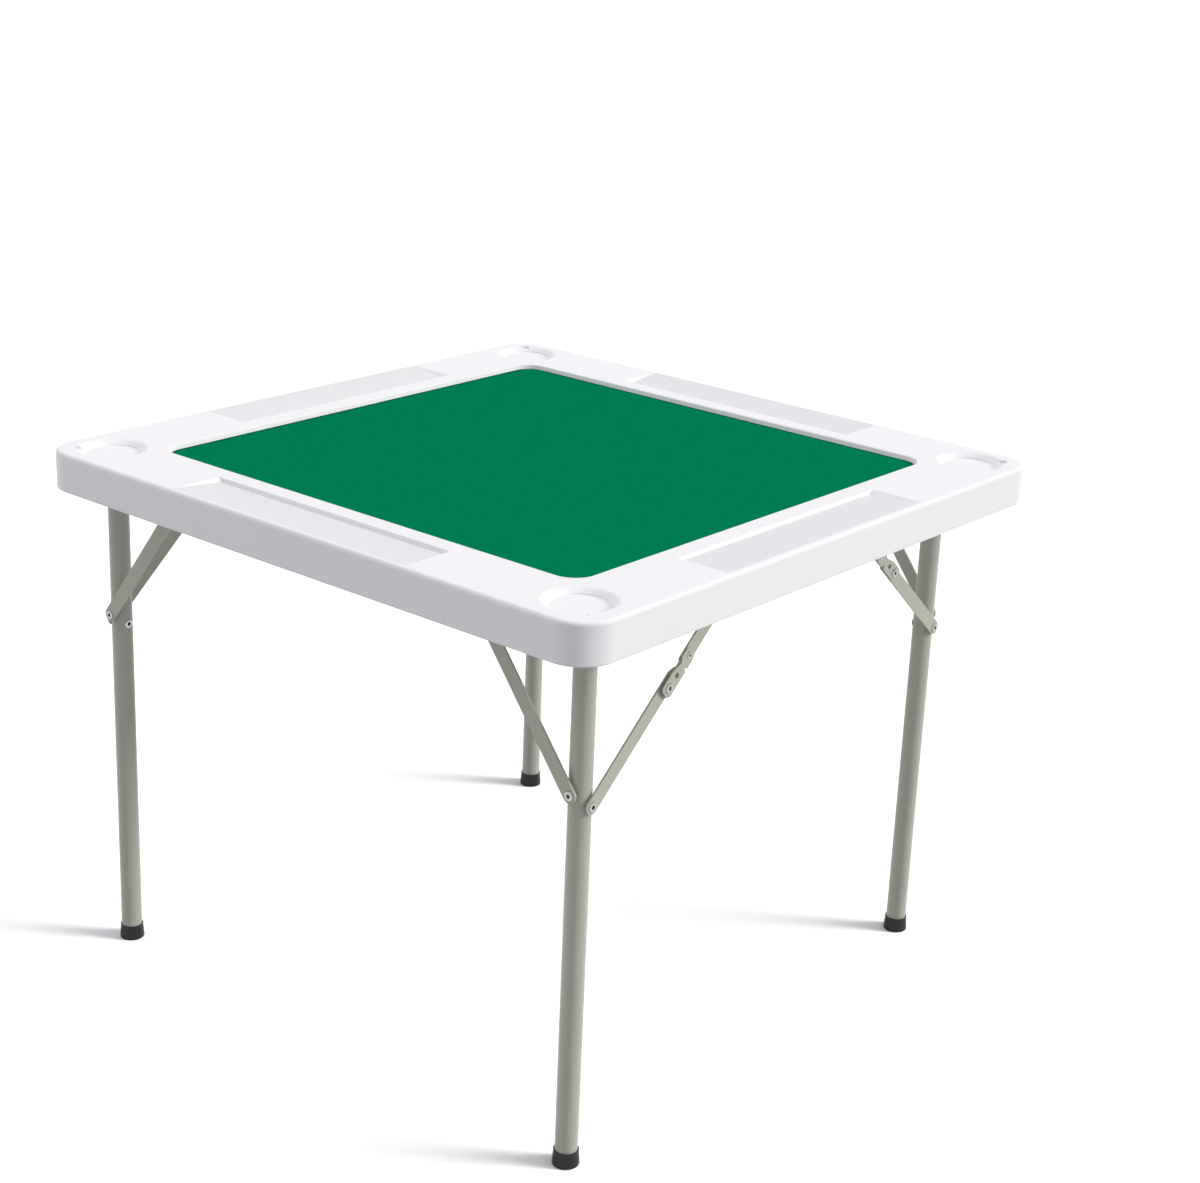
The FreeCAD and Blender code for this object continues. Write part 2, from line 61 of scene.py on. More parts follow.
def add(tree, kind, settings=None, sockets=None):
    """One node with its settings; a socket given as another node's output is linked."""
    made = tree.nodes.new(kind)
    for key, value in (settings or {}).items():
        setattr(made, key, value)
    for key, value in (sockets or {}).items():
        if isinstance(value, bpy.types.NodeSocket):
            tree.links.new(value, made.inputs[key])
        else:
            made.inputs[key].default_value = value
    return made


def dress(node, finish):
    """Gives a node of the frame its finish."""
    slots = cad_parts[node].data.materials
    slots.clear()
    slots.append(finish)


# The mould leaves a satin white skin with a fine pebble and a long faint wave, and a greyer stippled
# grain on the tray floors. The real pebble is about 0.3 mm and the stipple about 0.6 mm: both are
# drawn coarser so that they show.
PEBBLE = 0.0011
STIPPLE = 0.0018
WAVE = 0.140
TOP_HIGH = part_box("table_top")[1]
TRAY_INNER_INSET, TRAY_OUTER_INSET = 0.0820, 0.0075
TRAY_DEPTH, TRAY_WALL_RUN, TRAY_HALF_LENGTH = 0.0045, 0.0015, 0.213
TRAY_FLOOR_BAND = 0.00005
moulded_polyethylene, tree, shader = new_finish("polyethylene_blow_moulded")
where = add(tree, "ShaderNodeTexCoord")
pebble = add(tree, "ShaderNodeTexNoise", None,
             {"Vector": where.outputs["Object"], "Scale": 1 / PEBBLE, "Detail": 2.0, "Roughness": 0.5})
wave = add(tree, "ShaderNodeTexNoise", None,
           {"Vector": where.outputs["Object"], "Scale": 1 / WAVE, "Detail": 1.0})
tone = add(tree, "ShaderNodeValToRGB", None, {"Fac": wave.outputs["Fac"]})
tone.color_ramp.elements[0].color = linear("#F5F5F6")
tone.color_ramp.elements[1].color = linear("#F8F8F9")

# A tray floor is where the skin lies on the tray's slope, between its wall and its outer end.
tray_inner = TOP_HIGH.x - TRAY_INNER_INSET
tray_outer = TOP_HIGH.x - TRAY_OUTER_INSET
tray_slope = TRAY_DEPTH / (tray_outer - tray_inner - TRAY_WALL_RUN)
axes = add(tree, "ShaderNodeSeparateXYZ", None, {"Vector": where.outputs["Object"]})
away_x = add(tree, "ShaderNodeMath", {"operation": "ABSOLUTE"}, {0: axes.outputs["X"]})
away_y = add(tree, "ShaderNodeMath", {"operation": "ABSOLUTE"}, {0: axes.outputs["Y"]})
outward = add(tree, "ShaderNodeMath", {"operation": "MAXIMUM"},
              {0: away_x.outputs["Value"], 1: away_y.outputs["Value"]})
along = add(tree, "ShaderNodeMath", {"operation": "MINIMUM"},
            {0: away_x.outputs["Value"], 1: away_y.outputs["Value"]})
slope = add(tree, "ShaderNodeMath", {"operation": "MULTIPLY_ADD"},
            {0: outward.outputs["Value"], 1: tray_slope, 2: TOP_HIGH.z - tray_slope * tray_outer})
above = add(tree, "ShaderNodeMath", {"operation": "SUBTRACT"},
            {0: axes.outputs["Z"], 1: slope.outputs["Value"]})
off_slope = add(tree, "ShaderNodeMath", {"operation": "ABSOLUTE"}, {0: above.outputs["Value"]})
on_tray = 1.0
for test, measure, limit in (("LESS_THAN", off_slope, TRAY_FLOOR_BAND),
                             ("GREATER_THAN", outward, tray_inner),
                             ("LESS_THAN", outward, tray_outer),
                             ("LESS_THAN", along, TRAY_HALF_LENGTH)):
    inside = add(tree, "ShaderNodeMath", {"operation": test}, {0: measure.outputs["Value"], 1: limit})
    both = add(tree, "ShaderNodeMath", {"operation": "MULTIPLY"}, {0: on_tray, 1: inside.outputs["Value"]})
    on_tray = both.outputs["Value"]
stipple = add(tree, "ShaderNodeTexVoronoi", None,
              {"Vector": where.outputs["Object"], "Scale": 1 / STIPPLE})
shade = add(tree, "ShaderNodeMix", {"data_type": "RGBA"},
            {0: on_tray, 6: tone.outputs["Color"], 7: linear("#E8E9EA")})
gloss = add(tree, "ShaderNodeMapRange", None,
            {"Value": pebble.outputs["Fac"], "To Min": 0.44, "To Max": 0.54})
fine = add(tree, "ShaderNodeBump", None,
           {"Height": pebble.outputs["Fac"], "Strength": 0.10, "Distance": 0.0002})
broad = add(tree, "ShaderNodeBump", None,
            {"Height": wave.outputs["Fac"], "Strength": 0.12, "Distance": 0.003,
             "Normal": fine.outputs["Normal"]})
grain = add(tree, "ShaderNodeBump", None,
            {"Height": stipple.outputs["Distance"], "Strength": on_tray, "Distance": 0.0002,
             "Normal": broad.outputs["Normal"]})
tree.links.new(shade.outputs[2], shader.inputs["Base Color"])
tree.links.new(gloss.outputs["Result"], shader.inputs["Roughness"])
tree.links.new(grain.outputs["Normal"], shader.inputs["Normal"])
shader.inputs["IOR"].default_value = 1.51
shader.inputs["Specular IOR Level"].default_value = 0.32
dress("table_top", moulded_polyethylene)


# Playing cloth: a sheet of short-nap green wool baize, cut to the playing recess and glued flat on
# its floor. Its cut edge is rounded over and pressed down into the glue.
def cloth_grid(half, corner, step):
    """Rows of points over a square with round corners, bent to follow the corner arcs."""
    count = int(round(2 * half / step))
    rows = []
    flat = half - corner
    for i in range(count + 1):
        row = []
        for j in range(count + 1):
            x = -half + 2 * half * i / count
            y = -half + 2 * half * j / count
            a, b = abs(x) - flat, abs(y) - flat
            if a > 0 and b > 0:
                reach, small = max(a, b), min(a, b)
                turn = math.pi / 4 * small / reach
                if a < b:
                    turn = math.pi / 2 - turn
                x = math.copysign(flat + reach * math.cos(turn), x)
                y = math.copysign(flat + reach * math.sin(turn), y)
            row.append((x, y))
        rows.append(row)
    return rows


def border(rows):
    """The points round the outside of a square grid of points, in order."""
    last = len(rows) - 1
    return ([rows[i][0] for i in range(last)] + [rows[last][j] for j in range(last)]
            + [rows[last - i][last] for i in range(last)] + [rows[0][last - j] for j in range(last)])


def placed(name, mesh):
    """Turns a built mesh into a smooth object of the scene."""
    bmesh.ops.recalc_face_normals(mesh, faces=mesh.faces)
    data = bpy.data.meshes.new(name)
    mesh.to_mesh(data)
    mesh.free()
    for face in data.polygons:
        face.use_smooth = True
    piece = bpy.data.objects.new(name, data)
    bpy.context.scene.collection.objects.link(piece)
    return piece


CLOTH_LOW, CLOTH_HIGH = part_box("playing_felt")
CLOTH_CORNER = 0.0271
CLOTH_STEP = 0.008
CLOTH_WAVE, CLOTH_LIFT = 0.090, 0.00018
CLOTH_CALM_EDGE = 0.02
CLOTH_SINK = 0.0002
SHOULDER_SPREAD, SHOULDER_DROP = 1.0004, 0.0004
cloth_half = (CLOTH_HIGH.x - CLOTH_LOW.x) / 2
cloth = bmesh.new()
upper = []
for row in cloth_grid(cloth_half, CLOTH_CORNER, CLOTH_STEP):
    line = []
    for x, y in row:
        calm = min(1.0, (cloth_half - max(abs(x), abs(y))) / CLOTH_CALM_EDGE)
        lift = CLOTH_LIFT * noise.noise(Vector((x, y, 0)) / CLOTH_WAVE) * max(calm, 0)
        line.append(cloth.verts.new((x, y, CLOTH_HIGH.z - CLOTH_SINK + lift)))
    upper.append(line)
for i in range(len(upper) - 1):
    for j in range(len(upper) - 1):
        cloth.faces.new((upper[i][j], upper[i + 1][j], upper[i + 1][j + 1], upper[i][j + 1]))
rim = border(upper)
spread = [(v.co.x * SHOULDER_SPREAD, v.co.y * SHOULDER_SPREAD, v.co.z - SHOULDER_DROP) for v in rim]
shoulder = [cloth.verts.new(spot) for spot in spread]
hem = [cloth.verts.new((x, y, CLOTH_LOW.z)) for x, y, z in spread]
for above_ring, below_ring in ((rim, shoulder), (shoulder, hem)):
    for k in range(len(rim)):
        n = (k + 1) % len(rim)
        cloth.faces.new((above_ring[k], below_ring[k], below_ring[n], above_ring[n]))
cloth.faces.new(list(reversed(hem)))
playing_cloth = placed("playing_cloth", cloth)

# The nap hides the threads and gives a soft, slightly mottled green with no shine. A band of painted shade
# darkens it towards its edge, by the recess wall. Real nap is about 0.2 mm across: it is drawn coarser so
# that it shows.
NAP = 0.0016
MOTTLE = 0.012
# The width of the band of painted shade along the cloth's edge.
EDGE_SHADE_WIDTH = 0.005
baize, tree, shader = new_finish("wool_baize_short_nap")
where = add(tree, "ShaderNodeTexCoord")
nap = add(tree, "ShaderNodeTexNoise", None,
          {"Vector": where.outputs["Object"], "Scale": 1 / NAP, "Detail": 4.0, "Roughness": 0.65})
mottle = add(tree, "ShaderNodeTexNoise", None,
             {"Vector": where.outputs["Object"], "Scale": 1 / MOTTLE, "Detail": 3.0})
both = add(tree, "ShaderNodeMath", {"operation": "MULTIPLY_ADD"},
           {0: mottle.outputs["Fac"], 1: 0.45, 2: nap.outputs["Fac"]})
tone = add(tree, "ShaderNodeValToRGB", None, {"Fac": both.outputs["Value"]})
tone.color_ramp.elements[0].position = 0.45
tone.color_ramp.elements[0].color = linear("#00784E")
tone.color_ramp.elements[1].position = 1.0
tone.color_ramp.elements[1].color = linear("#018459")
axes = add(tree, "ShaderNodeSeparateXYZ", None, {"Vector": where.outputs["Object"]})
beyond = add(tree, "ShaderNodeCombineXYZ")
for axis in ("X", "Y"):
    away = add(tree, "ShaderNodeMath", {"operation": "ABSOLUTE"}, {0: axes.outputs[axis]})
    past = add(tree, "ShaderNodeMath", {"operation": "SUBTRACT"},
               {0: away.outputs["Value"], 1: cloth_half - CLOTH_CORNER})
    past = add(tree, "ShaderNodeMath", {"operation": "MAXIMUM"}, {0: past.outputs["Value"], 1: 0.0})
    tree.links.new(past.outputs["Value"], beyond.inputs[axis])
reach = add(tree, "ShaderNodeVectorMath", {"operation": "LENGTH"}, {0: beyond.outputs["Vector"]})
# Painted shade: the green turns dark over the last 5 mm towards the cloth's edge, by the recess wall.
painted_edge_shade = add(tree, "ShaderNodeMapRange", None,
              {"Value": reach.outputs["Value"], "From Min": CLOTH_CORNER - EDGE_SHADE_WIDTH,
               "From Max": CLOTH_CORNER})
edge_shaded_tone = add(tree, "ShaderNodeMix", {"data_type": "RGBA"},
           {0: painted_edge_shade.outputs["Result"], 6: tone.outputs["Color"], 7: linear("#003D27")})
fuzz = add(tree, "ShaderNodeBump", None,
           {"Height": nap.outputs["Fac"], "Strength": 0.22, "Distance": 0.0005})
tree.links.new(edge_shaded_tone.outputs[2], shader.inputs["Base Color"])
tree.links.new(fuzz.outputs["Normal"], shader.inputs["Normal"])
shader.inputs["Roughness"].default_value = 0.95
shader.inputs["Specular IOR Level"].default_value = 0.0
playing_cloth.data.materials.append(baize)
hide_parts("playing_felt")
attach(playing_cloth, "top")


# Leg frames: two frames of round steel tube, each with two legs joined to a crossbar that turns under
# the top. Flat pressed steel braces, plain ones and folding ones with a lock plate, stiffen them.
CORNERS = [end + "_" + side for end in ("front", "rear") for side in ("left", "right")]

# The steel is sprayed with a grey-green powder and baked. That leaves a soft sheen with a fine orange
# peel, and a slow drift in tone where the powder lay thicker.
PEEL = 0.0016
DRIFT = 0.060
powder_coat, tree, shader = new_finish("steel_powder_coated_grey")
where = add(tree, "ShaderNodeTexCoord")
peel = add(tree, "ShaderNodeTexNoise", None,
           {"Vector": where.outputs["Object"], "Scale": 1 / PEEL, "Detail": 2.0, "Roughness": 0.45})
drift = add(tree, "ShaderNodeTexNoise", None,
            {"Vector": where.outputs["Object"], "Scale": 1 / DRIFT, "Detail": 2.0})
tone = add(tree, "ShaderNodeValToRGB", None, {"Fac": drift.outputs["Fac"]})
tone.color_ramp.elements[0].color = linear("#B1B2A4")
tone.color_ramp.elements[1].color = linear("#B9BAAC")
gloss = add(tree, "ShaderNodeMapRange", None,
            {"Value": peel.outputs["Fac"], "To Min": 0.34, "To Max": 0.50})
skin = add(tree, "ShaderNodeBump", None,
           {"Height": peel.outputs["Fac"], "Strength": 0.18, "Distance": 0.0002})
tree.links.new(tone.outputs["Color"], shader.inputs["Base Color"])
tree.links.new(gloss.outputs["Result"], shader.inputs["Roughness"])
tree.links.new(skin.outputs["Normal"], shader.inputs["Normal"])
shader.inputs["IOR"].default_value = 1.5
for end in ("front", "rear"):
    dress(end + "_crossbar", powder_coat)
for corner in CORNERS:
    for kind in ("leg_", "plain_brace_", "lower_link_", "upper_link_", "lock_plate_"):
        dress(kind + corner, powder_coat)


# Weld beads: each leg tube is coped to its crossbar and welded all round with steel wire.
# The bead is rippled by the run of the torch, and is powder coated with the frame.
WELD_BEAD = 0.0019
WELD_TRIM = 0.0040
WELD_POINTS, WELD_SIDES = 120, 10
WELD_RIPPLE, RIPPLE_POINTS = 0.14, 4
CRISP_ANGLE = 40


def welded(mesh, centre, radius, height):
    """Adds a rippled bead along the line where a leg tube meets its crossbar."""
    path = []
    for k in range(WELD_POINTS):
        turn = 2 * math.pi * k / WELD_POINTS
        x = centre.x + radius * math.cos(turn)
        y = centre.y + radius * math.sin(turn)
        drop = max(radius * abs(math.cos(turn)), WELD_TRIM)
        path.append(Vector((x, y, height - drop)))
    rings = []
    for k, point in enumerate(path):
        along = (path[(k + 1) % WELD_POINTS] - path[k - 1]).normalized()
        across = along.cross(Vector((point.x - centre.x, point.y - centre.y, 0))).normalized()
        out = across.cross(along)
        thick = WELD_BEAD * (1 + WELD_RIPPLE * math.sin(2 * math.pi * k / RIPPLE_POINTS))
        ring = []
        for s in range(WELD_SIDES):
            turn = 2 * math.pi * s / WELD_SIDES
            ring.append(mesh.verts.new(point + thick * (across * math.cos(turn) + out * math.sin(turn))))
        rings.append(ring)
    for k in range(WELD_POINTS):
        low, high = rings[k - 1], rings[k]
        for s in range(WELD_SIDES):
            n = (s + 1) % WELD_SIDES
            mesh.faces.new((low[s], low[n], high[n], high[s]))


def finished(name, mesh, finish):
    """A placed object with its finish, kept crisp where its faces turn sharply."""
    piece = placed(name, mesh)
    piece.data.materials.append(finish)
    piece.data.set_sharp_from_angle(angle=math.radians(CRISP_ANGLE))
    return piece


for end in ("front", "rear"):
    bar_low, bar_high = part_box(end + "_crossbar")
    beads = bmesh.new()
    for side in ("left", "right"):
        leg_low, leg_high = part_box("leg_" + end + "_" + side)
        leg_radius = (leg_high.x - leg_low.x) / 2
        welded(beads, (leg_low + leg_high) / 2, leg_radius, (bar_low.z + bar_high.z) / 2)
    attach(finished(end + "_weld_beads", beads, powder_coat), end + "_leg_frame")


# Foot caps: push-on feet moulded in black polyethylene, with a rolled lip that grips the tube,
# a rounded lower edge and a slightly hollow sole.
def turned(mesh, profile, place, sides):
    """Adds a turned shape to a mesh, from radius and height pairs about a placed axis."""
    rings = []
    for radius, height in profile:
        ring = []
        for k in range(sides if radius > 0 else 1):
            turn = 2 * math.pi * k / sides
            spot = Vector((radius * math.cos(turn), radius * math.sin(turn), height))
            ring.append(mesh.verts.new(place @ spot))
        rings.append(ring)
    for low, high in zip(rings, rings[1:]):
        for k in range(sides):
            n = (k + 1) % sides
            corners = [low[k % len(low)], low[n % len(low)], high[n % len(high)], high[k % len(high)]]
            mesh.faces.new(list(dict.fromkeys(corners)))


# The mould leaves a dull black surface that is a little greyer where it rubs.
# Its grain is about 0.3 mm in the real one and is drawn coarser so that it shows.
GRAIN = 0.0012
black_polyethylene, tree, shader = new_finish("polyethylene_moulded_black")
where = add(tree, "ShaderNodeTexCoord")
grain = add(tree, "ShaderNodeTexNoise", None,
            {"Vector": where.outputs["Object"], "Scale": 1 / GRAIN, "Detail": 3.0})
tone = add(tree, "ShaderNodeValToRGB", None, {"Fac": grain.outputs["Fac"]})
tone.color_ramp.elements[0].color = linear("#121214")
tone.color_ramp.elements[1].color = linear("#1E1E21")
gloss = add(tree, "ShaderNodeMapRange", None,
            {"Value": grain.outputs["Fac"], "To Min": 0.40, "To Max": 0.55})
rough = add(tree, "ShaderNodeBump", None,
            {"Height": grain.outputs["Fac"], "Strength": 0.2, "Distance": 0.0002})
tree.links.new(tone.outputs["Color"], shader.inputs["Base Color"])
tree.links.new(gloss.outputs["Result"], shader.inputs["Roughness"])
tree.links.new(rough.outputs["Normal"], shader.inputs["Normal"])
shader.inputs["Specular IOR Level"].default_value = 0.35

CAP_SIDES = 64
CAP_SOLE, CAP_HOLLOW = 0.0040, 0.0006
HOLLOW_INNER, HOLLOW_OUTER = 0.55, 0.62
CAP_EDGE = 0.0016
CAP_FIT, CAP_WALL = 0.00005, 0.0012
CAP_SWELL, SWELL_HEIGHT = 0.0006, 0.70
CAP_LIP, CAP_GRIP, CAP_MOUTH = 0.0011, 0.0004, 0.0004
for corner in CORNERS:
    cap_low, cap_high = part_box("foot_cap_" + corner)
    leg_low, leg_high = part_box("leg_" + corner)
    base = (cap_high.x - cap_low.x) / 2
    tall = cap_high.z - cap_low.z
    bore = (leg_high.x - leg_low.x) / 2 + CAP_FIT
    crown = bore + CAP_WALL
    profile = [(0, CAP_HOLLOW), (base * HOLLOW_INNER, CAP_HOLLOW), (base * HOLLOW_OUTER, 0)]
    for degrees in range(-90, 1, 15):
        turn = math.radians(degrees)
        profile.append((base - CAP_EDGE + CAP_EDGE * math.cos(turn), CAP_EDGE + CAP_EDGE * math.sin(turn)))
    profile += [(crown + CAP_SWELL, tall * SWELL_HEIGHT), (crown, tall - 3 * CAP_LIP)]
    for degrees in range(-70, 91, 20):
        turn = math.radians(degrees)
        profile.append((crown + CAP_GRIP * math.cos(turn), tall - CAP_LIP + CAP_LIP * math.sin(turn)))
    profile += [(bore, tall - CAP_MOUTH), (bore, CAP_SOLE), (0, CAP_SOLE)]
    middle = (cap_low + cap_high) / 2
    cap = bmesh.new()
    turned(cap, profile, Matrix.Translation((middle.x, middle.y, cap_low.z)), CAP_SIDES)
    cap = finished("moulded_foot_" + corner, cap, black_polyethylene)
    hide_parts("foot_cap_" + corner)
    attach(cap, corner.split("_")[0] + "_leg_frame")


# End plugs: plugs moulded in the same black polyethylene as the feet.
# They are pushed into the open ends of the crossbar tubes.
for corner in CORNERS:
    dress("end_plug_" + corner, black_polyethylene)


# Saddles: blocks moulded in grey nylon and screwed under the top.
# The crossbars turn in them when the legs fold.

# Moulded nylon has a dull, slightly mottled surface. The real mottle is about 0.5 mm and is drawn
# coarser so that it shows.
MOULD = 0.002
moulded_nylon, tree, shader = new_finish("nylon_moulded_grey")
where = add(tree, "ShaderNodeTexCoord")
mould = add(tree, "ShaderNodeTexNoise", None,
            {"Vector": where.outputs["Object"], "Scale": 1 / MOULD, "Detail": 3.0})
tone = add(tree, "ShaderNodeValToRGB", None, {"Fac": mould.outputs["Fac"]})
tone.color_ramp.elements[0].color = linear("#8C8F8E")
tone.color_ramp.elements[1].color = linear("#9A9D9B")
gloss = add(tree, "ShaderNodeMapRange", None,
            {"Value": mould.outputs["Fac"], "To Min": 0.45, "To Max": 0.60})
tree.links.new(tone.outputs["Color"], shader.inputs["Base Color"])
tree.links.new(gloss.outputs["Result"], shader.inputs["Roughness"])
for corner in CORNERS:
    dress("saddle_" + corner, moulded_nylon)


# Brackets and spacers: brackets pressed from steel sheet and screwed under the top, and turned steel
# rings that keep the braces clear of the tubes.

# Both are zinc plated, which gives a cool metal shine with fine cloudy spangles. The real spangles are
# under 1 mm and are drawn coarser so that they show.
SPANGLE = 0.0025
zinc_plate, tree, shader = new_finish("steel_zinc_plated")
where = add(tree, "ShaderNodeTexCoord")
spangle = add(tree, "ShaderNodeTexNoise", None,
              {"Vector": where.outputs["Object"], "Scale": 1 / SPANGLE, "Detail": 3.0})
tone = add(tree, "ShaderNodeValToRGB", None, {"Fac": spangle.outputs["Fac"]})
tone.color_ramp.elements[0].color = linear("#9EA09E")
tone.color_ramp.elements[1].color = linear("#C4C6C4")
gloss = add(tree, "ShaderNodeMapRange", None,
            {"Value": spangle.outputs["Fac"], "To Min": 0.22, "To Max": 0.38})
tree.links.new(tone.outputs["Color"], shader.inputs["Base Color"])
tree.links.new(gloss.outputs["Result"], shader.inputs["Roughness"])
shader.inputs["Metallic"].default_value = 1.0
for corner in CORNERS:
    dress("bracket_" + corner, zinc_plate)
for end in ("front", "rear"):
    dress(end + "_spacers", zinc_plate)


# Rivets and pins: semi-tubular steel rivets at every turning joint of the braces, zinc plated like
# the brackets. Their ends are rolled over, which shows as a bright ring round a small hollow.
SPOTS_PER_METRE = 1e5


def solids_of(node):
    """Low and high corners of each separate solid that a node of the frame holds."""
    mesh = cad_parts[node].data
    spots = [tuple(round(c * SPOTS_PER_METRE) for c in v.co) for v in mesh.vertices]
    leader = {spot: spot for spot in spots}

    def first(spot):
        while leader[spot] != spot:
            leader[spot] = leader[leader[spot]]
            spot = leader[spot]
        return spot

    for edge in mesh.edges:
        leader[first(spots[edge.vertices[0]])] = first(spots[edge.vertices[1]])
    groups = {}
    for spot in leader:
        groups.setdefault(first(spot), []).append(spot)
    corners = []
    for group in groups.values():
        low = Vector([min(c) for c in zip(*group)]) / SPOTS_PER_METRE
        high = Vector([max(c) for c in zip(*group)]) / SPOTS_PER_METRE
        corners.append((low, high))
    return corners


RIVET_SIDES = 40
RIVET_HEAD, RIVET_TAIL, RIVET_SHANK = 0.0022, 0.0014, 0.0030
PIN_HEAD, PIN_SHANK = 0.0012, 0.0021
LARGE_RIVET = 0.010
CREST, BORE = 0.68, 0.42
ROLL_FOOT, ROLL_MOUTH = 0.3, 0.35
TAIL_HOLLOW, HEAD_HOLLOW = 0.3, 0.5


def riveted(mesh, low, high, tail, head, shank):
    """Adds a rivet in a solid's box: a rolled tail inside, a shank, and a rolled head outside."""
    size, middle = high - low, (low + high) / 2
    axis = min(range(3), key=lambda i: abs(size[(i + 1) % 3] - size[(i + 2) % 3]))
    out = Vector([math.copysign(1, middle[i]) if i == axis else 0 for i in range(3)])
    rim, long = size[(axis + 1) % 3] / 2, size[axis]
    crest, bore, seat = CREST * rim, BORE * rim, long - head
    roll = []
    for degrees in range(0, 127, 18):
        turn = math.radians(degrees)
        roll.append((crest + (rim - crest) * math.cos(turn), ROLL_FOOT + (1 - ROLL_FOOT) * math.sin(turn)))
    if tail > 0:
        floor_at = seat * TAIL_HOLLOW
        profile = [(0, floor_at), (bore, floor_at), (bore, tail * ROLL_MOUTH)]
        profile += [(radius, tail - tail * rise) for radius, rise in reversed(roll)]
        profile += [(rim, tail), (shank, tail)]
    else:
        profile = [(0, 0), (shank, 0)]
    if head > 0:
        floor_at = seat * HEAD_HOLLOW
        profile += [(shank, seat), (rim, seat)]
        profile += [(radius, seat + head * rise) for radius, rise in roll]
        profile += [(bore, long - head * ROLL_MOUTH), (bore, floor_at), (0, floor_at)]
    else:
        profile += [(shank, long), (0, long)]
    turn_out = out.to_track_quat("Z", "Y").to_matrix().to_4x4()
    turned(mesh, profile, Matrix.Translation(middle - out * long / 2) @ turn_out, RIVET_SIDES)


for end in ("front", "rear"):
    rivets = bmesh.new()
    for low, high in solids_of(end + "_rivets"):
        through = high.x - low.x > 2 * (high.y - low.y)
        riveted(rivets, low, high, RIVET_TAIL if through else 0, RIVET_HEAD, RIVET_SHANK)
    rivets = finished(end + "_rolled_rivets", rivets, zinc_plate)
    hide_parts(end + "_rivets")
    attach(rivets, end + "_leg_frame")
for corner in CORNERS:
    tails = bmesh.new()
    for low, high in solids_of("knuckle_tail_" + corner):
        riveted(tails, low, high, RIVET_TAIL, 0, RIVET_SHANK)
    tails = finished("knuckle_rivet_tail_" + corner, tails, zinc_plate)
    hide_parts("knuckle_tail_" + corner)
    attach(tails, "lower_brace_" + corner)
    heads = bmesh.new()
    for low, high in solids_of("plate_rivets_" + corner):
        large = high.y - low.y > LARGE_RIVET
        head, shank = (RIVET_HEAD, RIVET_SHANK) if large else (PIN_HEAD, PIN_SHANK)
        riveted(heads, low, high, 0, head, shank)
    heads = finished("knuckle_rivet_head_" + corner, heads, zinc_plate)
    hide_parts("plate_rivets_" + corner)
    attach(heads, "upper_brace_" + corner)
pins = bmesh.new()
for low, high in solids_of("bracket_pins"):
    riveted(pins, low, high, 0, RIVET_HEAD, RIVET_SHANK)
pins = finished("rolled_bracket_pins", pins, zinc_plate)
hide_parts("bracket_pins")
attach(pins, "top")


# Screws: zinc-plated steel screws driven up into the top, with a cross recess in the head.
# The saddles have pan heads and the brackets flat heads.
SCREW_SHANK, SHANK_EASE = 0.0020, 0.0001
PAN_HEAD, PAN_DOME = 0.0022, 0.0009
FLAT_HEAD = 0.0020
CROSS_DEPTH = 0.0011
CROSS_ARM, CROSS_HALF = 0.58, 0.14
FACE_LINES = (-1, -0.82, -0.62, -0.56, -0.16, -0.12, 0.12, 0.16, 0.56, 0.62, 0.82, 1)


def screwed(mesh, low, high, head, dome, seat_radius):
    """Adds a screw that points up in a solid's box, with a cross sunk in its head."""
    middle, rim = (low + high) / 2, (high.x - low.x) / 2
    face = []
    for u in FACE_LINES:
        row = []
        for v in FACE_LINES:
            x, y = u * math.sqrt(1 - v * v / 2), v * math.sqrt(1 - u * u / 2)
            z = low.z + dome * (x * x + y * y)
            if min(abs(u), abs(v)) < CROSS_HALF and max(abs(u), abs(v)) < CROSS_ARM:
                z += CROSS_DEPTH
            row.append(mesh.verts.new((middle.x + rim * x, middle.y + rim * y, z)))
        face.append(row)
    for i in range(len(face) - 1):
        for j in range(len(face) - 1):
            mesh.faces.new((face[i][j], face[i][j + 1], face[i + 1][j + 1], face[i + 1][j]))
    loop = border(face)
    seat = low.z + head
    for radius, height in ((seat_radius, seat), (SCREW_SHANK, seat), (SCREW_SHANK, high.z)):
        raised = []
        for point in loop:
            way = Vector((point.co.x - middle.x, point.co.y - middle.y, 0)).normalized() * radius
            raised.append(mesh.verts.new((middle.x + way.x, middle.y + way.y, height)))
        for k in range(len(loop)):
            n = (k + 1) % len(loop)
            mesh.faces.new((loop[k], loop[n], raised[n], raised[k]))
        loop = raised
    mesh.faces.new(loop)


screws = bmesh.new()
for low, high in solids_of("saddle_screws"):
    screwed(screws, low, high, PAN_HEAD, PAN_DOME, (high.x - low.x) / 2)
screws = finished("cross_pan_screws", screws, zinc_plate)
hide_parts("saddle_screws")
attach(screws, "top")
screws = bmesh.new()
for low, high in solids_of("bracket_screws"):
    screwed(screws, low, high, FLAT_HEAD, 0.0, SCREW_SHANK + SHANK_EASE)
screws = finished("cross_flat_screws", screws, zinc_plate)
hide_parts("bracket_screws")
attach(screws, "top")


# Floor: a plain studio floor, painted matte white, that runs out of the picture.
# Its lower side is clear, so that the underside of the table can be looked at from below.
FLOOR = 30.0
floor_data = bpy.data.meshes.new("floor")
floor_data.from_pydata([(-FLOOR, -FLOOR, 0), (FLOOR, -FLOOR, 0), (FLOOR, FLOOR, 0), (-FLOOR, FLOOR, 0)],
                       [], [(0, 1, 2, 3)])
floor = bpy.data.objects.new("floor", floor_data)
bpy.context.scene.collection.objects.link(floor)


def shown(tree):
    """One for a ray that shows the surroundings in the picture, in a gloss or through glass."""
    ray = add(tree, "ShaderNodeLightPath")
    seen = add(tree, "ShaderNodeMath", {"operation": "MAXIMUM"},
               {0: ray.outputs["Is Camera Ray"], 1: ray.outputs["Is Glossy Ray"]})
    seen = add(tree, "ShaderNodeMath", {"operation": "MAXIMUM"},
               {0: seen.outputs["Value"], 1: ray.outputs["Is Transmission Ray"]})
    return seen.outputs["Value"]


